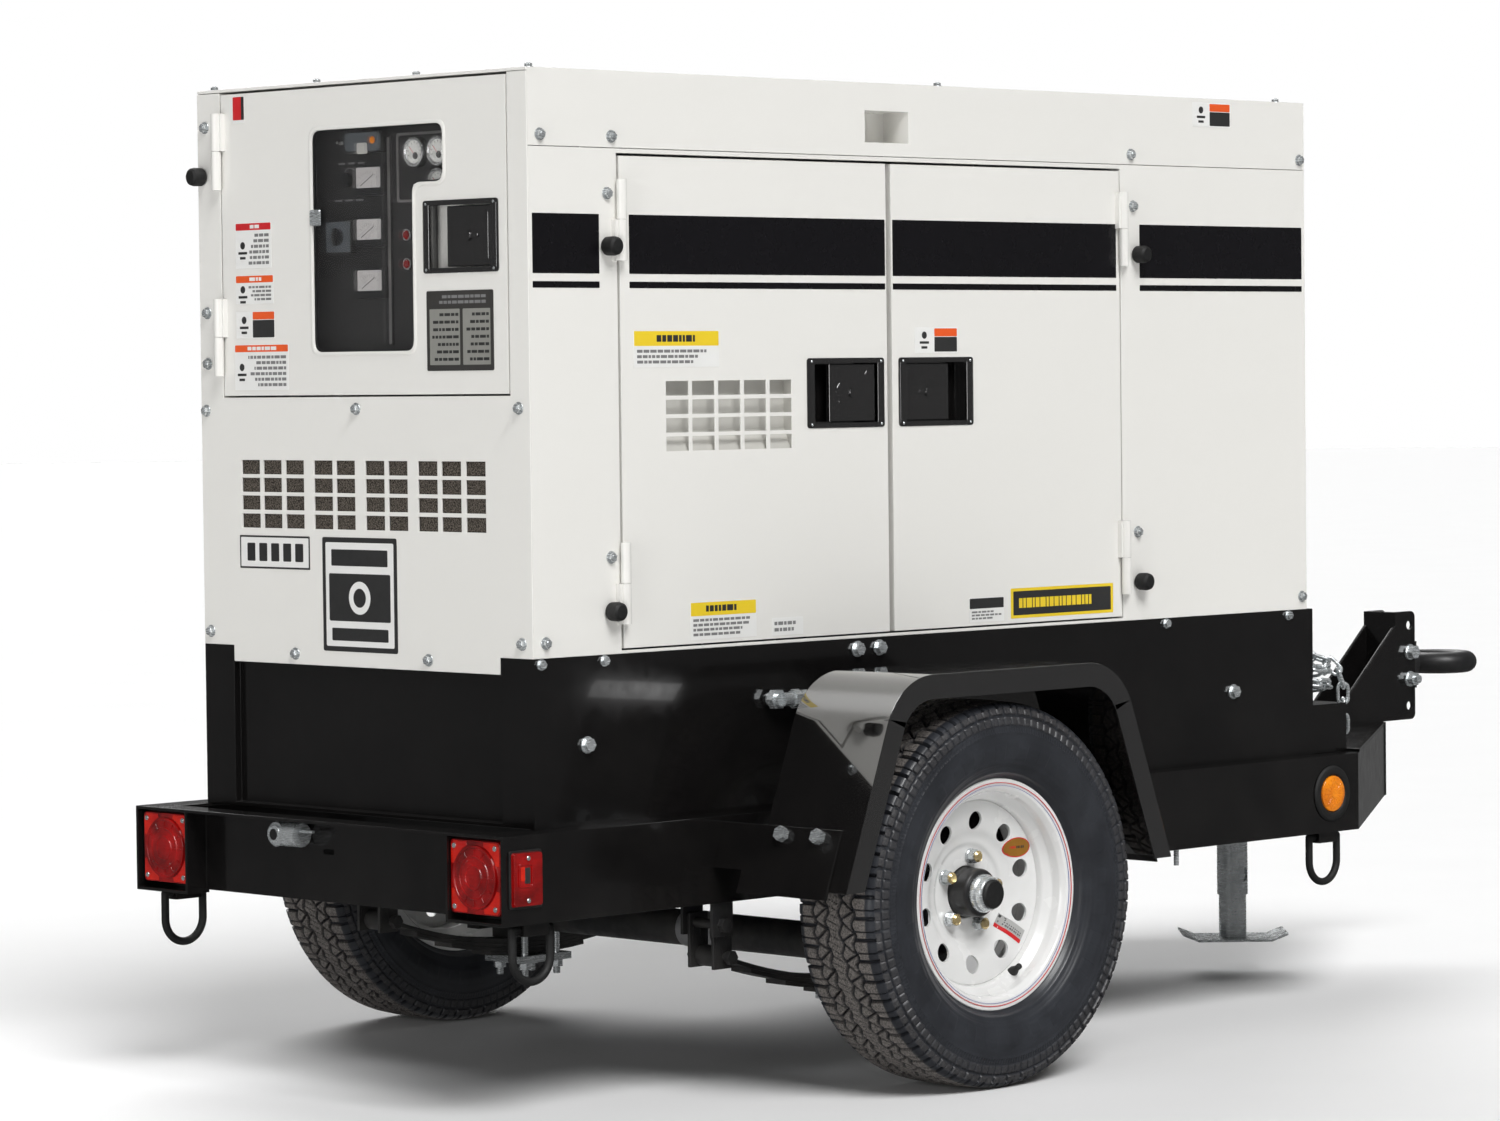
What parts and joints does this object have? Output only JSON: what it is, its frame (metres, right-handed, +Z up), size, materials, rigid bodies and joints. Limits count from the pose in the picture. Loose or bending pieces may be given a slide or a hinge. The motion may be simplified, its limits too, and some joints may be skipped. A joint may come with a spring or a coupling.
{
  "type": "towable diesel generator",
  "caption": "Sound-proofed diesel generator on a single-axle trailer with fenders, towing eye, jack, hinged access doors and a glazed control door.",
  "frame": {"origin": "on the ground, midway between the rear of the frame and the tip of the towing eye, on the mid-plane", "axes": "+X forward to the towing eye, +Y left, +Z up"},
  "size_m": [2.932, 1.474, 1.594],
  "materials": {
    "chassis_black": "gloss",
    "spring_black": "satin",
    "zinc_steel": "zinc plated",
    "eye_black": "satin",
    "lamp_red": "gloss lens",
    "fender_black": "gloss",
    "hub_black": "painted",
    "wheel_white": "gloss",
    "tyre_rubber": "matt tread",
    "enclosure_white": "gloss powder coat",
    "window_clear": "clear",
    "latch_black": "gloss",
    "panel_grey": "satin",
    "switch_black": "satin",
    "toggle_metal": "polished",
    "tank_black": "satin",
    "engine_paint": "painted",
    "stator_paint": "satin",
    "shaft_steel": "machined",
    "radiator_alloy": "matt",
    "muffler_steel": "heat dulled",
    "battery_case": "matt"
  },
  "bodies": {
    "chassis": {"side_rail_left": "chassis_black", "side_rail_right": "chassis_black", "rear_crossmember": "chassis_black", "tongue_left": "chassis_black", "tongue_right": "chassis_black", "hitch_riser": "chassis_black", "front_step": "chassis_black", "lunette_eye": "eye_black", "safety_chain": "zinc_steel", "frame_brackets": "chassis_black", "marker_lamps": "lamp_red", "fender_right": "fender_black", "fender_left": "fender_black", "zinc_hardware": "zinc_steel", "leaf_springs": "spring_black", "spring_hangers": "chassis_black", "jack_tube": "zinc_steel", "base_pan": "chassis_black", "fuel_tank": "tank_black", "rear_frame": "enclosure_white", "side_panels": "enclosure_white", "roof_cover": "enclosure_white", "front_panel": "enclosure_white", "hinge_halves": "enclosure_white", "control_panel": "panel_grey", "engine_block": "engine_paint", "alternator_stator": "stator_paint", "radiator": "radiator_alloy", "muffler": "muffler_steel", "battery": "battery_case"},
    "axle": {"axle_beam": "chassis_black", "u_bolts": "zinc_steel"},
    "wheel_right": {"hub_right": "hub_black", "rim_right": "wheel_white", "tyre_right": "tyre_rubber"},
    "wheel_left": {"hub_left": "hub_black", "rim_left": "wheel_white", "tyre_left": "tyre_rubber"},
    "jack_slide": {"jack_leg": "zinc_steel"},
    "jack_handle": {"jack_crank": "chassis_black"},
    "door_control": {"control_door": "enclosure_white", "control_window": "window_clear"},
    "handle_control": {"latch_control": "latch_black"},
    "door_rr": {"door_right_rear": "enclosure_white"},
    "handle_rr": {"latch_right_rear": "latch_black"},
    "door_rf": {"door_right_front": "enclosure_white"},
    "handle_rf": {"latch_right_front": "latch_black"},
    "door_lr": {"door_left_rear": "enclosure_white"},
    "handle_lr": {"latch_left_rear": "latch_black"},
    "door_lf": {"door_left_front": "enclosure_white"},
    "handle_lf": {"latch_left_front": "latch_black"},
    "ring_rr": {"tie_ring_rear_right": "chassis_black"},
    "ring_rl": {"tie_ring_rear_left": "chassis_black"},
    "ring_fr": {"tie_ring_front_right": "chassis_black"},
    "ring_fl": {"tie_ring_front_left": "chassis_black"},
    "selector": {"panel_selector": "switch_black"},
    "knob": {"panel_knob": "switch_black"},
    "toggle": {"panel_toggle": "toggle_metal"},
    "crankshaft": {"crankshaft_fan": "shaft_steel"},
    "alternator_pulley": {"charging_pulley": "shaft_steel"}
  },
  "joints": [
    {"name": "suspension_travel", "type": "slide", "parent": "chassis", "child": "axle", "axis": [0, 0, 1], "range_m": [-0.045, 0.04], "stiffness_N_per_m": 260000, "springref_m": -0.0438, "deforming": ["leaf_springs"]},
    {"name": "wheel_right_turn", "type": "hinge", "parent": "axle", "child": "wheel_right", "pos_m": [-0.654, -0.6355, 0.305], "axis": [0, 1, 0], "continuous": true},
    {"name": "wheel_left_turn", "type": "hinge", "parent": "axle", "child": "wheel_left", "pos_m": [-0.654, 0.6355, 0.305], "axis": [0, 1, 0], "continuous": true},
    {"name": "jack_crank_turn", "type": "hinge", "parent": "chassis", "child": "jack_handle", "pos_m": [0.816, 0, 0.712], "axis": [1, 0, 0], "range_deg": [-3600, 12600]},
    {"name": "jack_extend", "type": "slide", "parent": "chassis", "child": "jack_slide", "axis": [0, 0, -1], "range_m": [-0.055, 0.18]},
    {"name": "door_right_rear_swing", "type": "hinge", "parent": "chassis", "child": "door_rr", "pos_m": [-1.169, -0.405, 1.086], "axis": [0, 0, -1], "range_deg": [0, 120]},
    {"name": "door_right_front_swing", "type": "hinge", "parent": "chassis", "child": "door_rf", "pos_m": [0.0015, -0.405, 1.086], "axis": [0, 0, 1], "range_deg": [0, 120]},
    {"name": "door_left_rear_swing", "type": "hinge", "parent": "chassis", "child": "door_lr", "pos_m": [-1.169, 0.405, 1.086], "axis": [0, 0, 1], "range_deg": [0, 120]},
    {"name": "door_left_front_swing", "type": "hinge", "parent": "chassis", "child": "door_lf", "pos_m": [0.0015, 0.405, 1.086], "axis": [0, 0, -1], "range_deg": [0, 120]},
    {"name": "control_door_swing", "type": "hinge", "parent": "chassis", "child": "door_control", "pos_m": [-1.365, 0.3375, 1.344], "axis": [0, 0, -1], "range_deg": [0, 110]},
    {"name": "latch_right_rear_pull", "type": "hinge", "parent": "door_rr", "child": "handle_rr", "pos_m": [-0.596, -0.389, 1.095], "axis": [0, 0, 1], "range_deg": [0, 32], "stiffness_Nm_per_rad": 0.6, "springref_deg": -20.05},
    {"name": "latch_right_front_pull", "type": "hinge", "parent": "door_rf", "child": "handle_rf", "pos_m": [-0.534, -0.389, 1.095], "axis": [0, 0, -1], "range_deg": [0, 32], "stiffness_Nm_per_rad": 0.6, "springref_deg": -20.05},
    {"name": "latch_left_rear_pull", "type": "hinge", "parent": "door_lr", "child": "handle_lr", "pos_m": [-0.596, 0.389, 1.095], "axis": [0, 0, -1], "range_deg": [0, 32], "stiffness_Nm_per_rad": 0.6, "springref_deg": -20.05},
    {"name": "latch_left_front_pull", "type": "hinge", "parent": "door_lf", "child": "handle_lf", "pos_m": [-0.534, 0.389, 1.095], "axis": [0, 0, 1], "range_deg": [0, 32], "stiffness_Nm_per_rad": 0.6, "springref_deg": -20.05},
    {"name": "latch_control_pull", "type": "hinge", "parent": "door_control", "child": "handle_control", "pos_m": [-1.349, -0.317, 1.343], "axis": [0, 0, 1], "range_deg": [0, 32], "stiffness_Nm_per_rad": 0.6, "springref_deg": -20.05},
    {"name": "tie_ring_rear_right_swing", "type": "hinge", "parent": "chassis", "child": "ring_rr", "pos_m": [-1.389, -0.42, 0.295], "axis": [1, 0, 0], "range_deg": [-80, 80]},
    {"name": "tie_ring_rear_left_swing", "type": "hinge", "parent": "chassis", "child": "ring_rl", "pos_m": [-1.389, 0.42, 0.295], "axis": [1, 0, 0], "range_deg": [-80, 80]},
    {"name": "tie_ring_front_right_swing", "type": "hinge", "parent": "chassis", "child": "ring_fr", "pos_m": [0.508, -0.42, 0.295], "axis": [1, 0, 0], "range_deg": [-80, 80]},
    {"name": "tie_ring_front_left_swing", "type": "hinge", "parent": "chassis", "child": "ring_fl", "pos_m": [0.508, 0.42, 0.295], "axis": [1, 0, 0], "range_deg": [-80, 80]},
    {"name": "selector_turn", "type": "hinge", "parent": "chassis", "child": "selector", "pos_m": [-1.334, 0.075, 1.35], "axis": [1, 0, 0], "range_deg": [-90, 90]},
    {"name": "knob_turn", "type": "hinge", "parent": "chassis", "child": "knob", "pos_m": [-1.33, 0.056, 1.44], "axis": [1, 0, 0], "range_deg": [-140, 140]},
    {"name": "toggle_tip", "type": "hinge", "parent": "chassis", "child": "toggle", "pos_m": [-1.3294, 0.066, 1.498], "axis": [0, 1, 0], "range_deg": [-15, 15]},
    {"name": "crankshaft_turn", "type": "hinge", "parent": "chassis", "child": "crankshaft", "pos_m": [-0.51, 0, 0.93], "axis": [1, 0, 0], "continuous": true},
    {"name": "alternator_pulley_turn", "type": "hinge", "parent": "chassis", "child": "alternator_pulley", "pos_m": [-0.08, 0.212, 1.09], "axis": [1, 0, 0], "continuous": true}
  ],
  "couplings": [
    {"joint": "jack_extend", "follows": "jack_crank_turn", "m_per_rad": 0.00079577},
    {"joint": "alternator_pulley_turn", "follows": "crankshaft_turn", "ratio": 2.0588}
  ]
}
